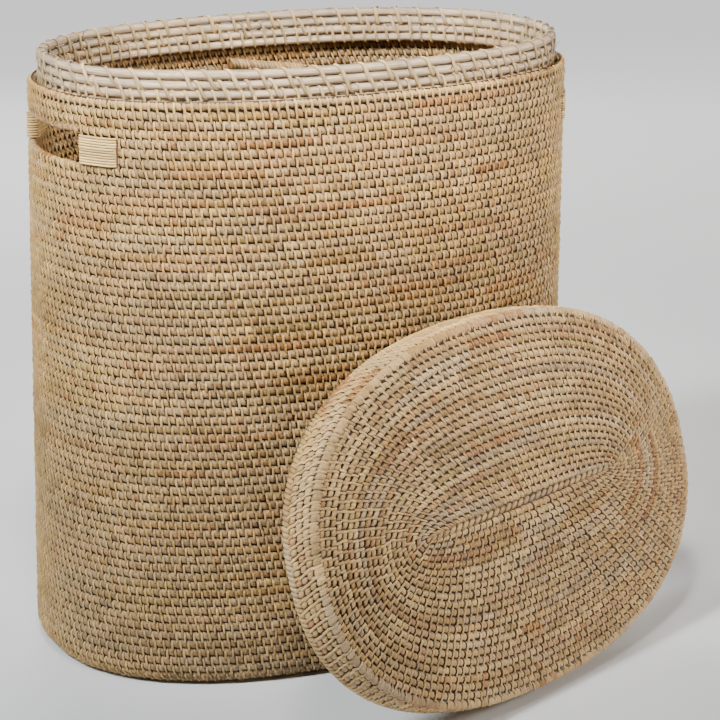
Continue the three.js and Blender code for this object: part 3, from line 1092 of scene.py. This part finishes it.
rim = Pile()
corner_axes = lid_axes(COIL_R + 0.0004, LID_H - COIL_R - 0.0002)
wrapped_coil(rim, corner_axes, 0, 1, LOOSE_WRAP, COIL_R - 0.0012, COIL_R - 0.0014, dark=0.45,
             closed=True, wild=0.3, pinch_by=0.0009, joint_shade=0.45, skew=0.0022, tint=LID_TINT)
corner_place, turn = over_edge(corner_axes, COIL_R + 0.0002, COIL_R - 0.0001)
stitch_row(rim, corner_place, 0.65 * turn, 2.15 * turn, LID_STITCH, lid_stitches,
           cane(lid_stitches, -0.04, wild=0.5) * LID_TINT, shift=-ROW_SHIFT * SKIRT_COURSES,
           proud=0.5, crest=0.1, lean=-0.25)
rim.make("lid_corner_weave", "lid", lid_mat, "lid_weave")

EDGE_WRAP = 0.0050
edge = Pile()
wrapped_coil(edge, lid_axes(LID_THICK / 2, COIL_R), 0, 1, EDGE_WRAP, LID_THICK / 2 + 0.0006, COIL_R,
             dark=0.02, closed=True, wild=0.4, pinch_by=0.0013, joint_shade=0.55, skew=0.0016, tint=LID_TINT)
edge.make("lid_edge_wrap", "lid", lid_mat, "lid_weave", replaces=("lid_edge",))

SPINE_WRAP = 0.0090
# How far the spine's coil is sunk below the top's peak, in radii of a course.
SPINE_SINK = 0.72
spine = Pile()


def spine_axes(f):
    """The coil along the middle of the top, sunk a little into it."""
    x = (f - 0.5) * 2 * (LID_SPINE + 0.002)
    level = LID_H + LID_CROWN - SPINE_SINK * COIL_R
    return (lid_world(x, 0 * x, level + 0 * x), np.tile(LID_N, (len(f), 1)),
            np.tile(LID_V, (len(f), 1)))


# wrapped_coil counts its turns along the wall's length, so the pitch is scaled to the spine's.
spine_pitch = SPINE_WRAP * WALL_ROUND / (2 * LID_SPINE)
wrapped_coil(spine, spine_axes, 0, 1, spine_pitch, COIL_R * 0.6, COIL_R * 0.8, dark=0.24, wild=0.5,
             pinch_by=0.0014, joint_shade=0.75, skew=0.0024, tint=LID_TINT)
spine.make("lid_spine_wrap", "lid", lid_mat, "lid_weave")

# ---------------------------------------------------------------- floor, light, camera
# The floor glows more, the farther it is from the basket, as a studio's sweep looks.
GLOW_FROM = 0.6
GLOW_TO = 3.0
GLOW = 0.85


def pale_floor():
    mat = bpy.data.materials.new("pale_floor")
    mat.use_nodes = True
    tree = mat.node_tree
    paint = tree.nodes["Principled BSDF"]
    paint.inputs["Base Color"].default_value = (0.68, 0.68, 0.677, 1)
    paint.inputs["Roughness"].default_value = 0.8
    paint.inputs["Emission Color"].default_value = (1, 1, 1, 1)
    where = tree.nodes.new("ShaderNodeTexCoord")
    distance = tree.nodes.new("ShaderNodeVectorMath")
    distance.operation = "LENGTH"
    tree.links.new(where.outputs["Object"], distance.inputs[0])
    glow = map_range(tree, distance.outputs["Value"], GLOW_FROM, GLOW_TO, 0.0, GLOW)
    tree.links.new(glow.outputs["Result"], paint.inputs["Emission Strength"])
    return mat


bpy.ops.mesh.primitive_plane_add(size=40, location=(0, 0, 0))
floor = bpy.context.object
floor.name = "floor"
floor.data.materials.append(pale_floor())


def area_light(name, where, target, size, energy, colour, spread_angle=180):
    """A round lamp that faces its target, with its power in watts."""
    data = bpy.data.lights.new(name, "AREA")
    data.shape = "DISK"
    data.size = size
    data.energy = energy
    data.color = colour
    data.spread = math.radians(spread_angle)
    ob = bpy.data.objects.new(name, data)
    ob.location = where
    ob.rotation_euler = (Vector(target) - Vector(where)).to_track_quat("-Z", "Y").to_euler()
    bpy.context.scene.collection.objects.link(ob)


mid = Vector((0, 0, HEIGHT / 2))
area_light("key", (-0.5, -0.9, 1.9), (-0.02, -0.1, 0.68), 0.4, 3.4, (1, 0.98, 0.94), 34)
area_light("right", (2.4, -1.7, 1.35), mid, 0.8, 66, (1, 0.965, 0.91))
area_light("left", (-2.1, -0.6, 2.5), mid, 0.5, 136, (0.90, 0.96, 1.0))
area_light("back", (0.7, 2.5, 1.7), mid, 1.4, 45, (1, 0.98, 0.95))

# The sky is brightest at the horizon and fades upwards.
SKY_LOW = 0.62
SKY_HIGH = 0.05
SKY_FADE = 0.35
world = bpy.data.worlds.new("studio")
bpy.context.scene.world = world
world.use_nodes = True
sky = world.node_tree
sky.nodes["Background"].inputs["Color"].default_value = (1, 1, 1, 1)
direction = sky.nodes.new("ShaderNodeTexCoord")
rise = sky.nodes.new("ShaderNodeSeparateXYZ")
sky.links.new(direction.outputs["Generated"], rise.inputs["Vector"])
fade = map_range(sky, rise.outputs["Z"], 0.0, SKY_FADE, SKY_LOW, SKY_HIGH)
fade.interpolation_type = "SMOOTHSTEP"
sky.links.new(fade.outputs["Result"], sky.nodes["Background"].inputs["Strength"])

# The photo's camera: its direction from the basket, its distance, the height that it looks at as
# a share of the wall's, and how far beside that it aims.
AZIMUTH = math.radians(-26.6)
ELEVATION = math.radians(16.2)
DISTANCE = 2.407
LENS = 115.5
LOOK_AT = 0.5043
AIM_RIGHT = 0.0579
AIM_DOWN = 0.0233
towards = Vector((math.sin(AZIMUTH) * math.cos(ELEVATION), -math.cos(AZIMUTH) * math.cos(ELEVATION),
                  math.sin(ELEVATION)))
right = towards.cross(Vector((0, 0, -1))).normalized()
up_axis = towards.cross(right)
centre = Vector((LEAN, 0, HEIGHT * LOOK_AT))
camera_data = bpy.data.cameras.new("camera")
camera_data.lens = LENS
camera_data.sensor_width = 36
camera = bpy.data.objects.new("camera", camera_data)
camera.location = centre + towards * DISTANCE
aim = centre + right * AIM_RIGHT - up_axis * AIM_DOWN
camera.rotation_euler = (aim - camera.location).to_track_quat("-Z", "Y").to_euler()
bpy.context.scene.collection.objects.link(camera)
bpy.context.scene.camera = camera
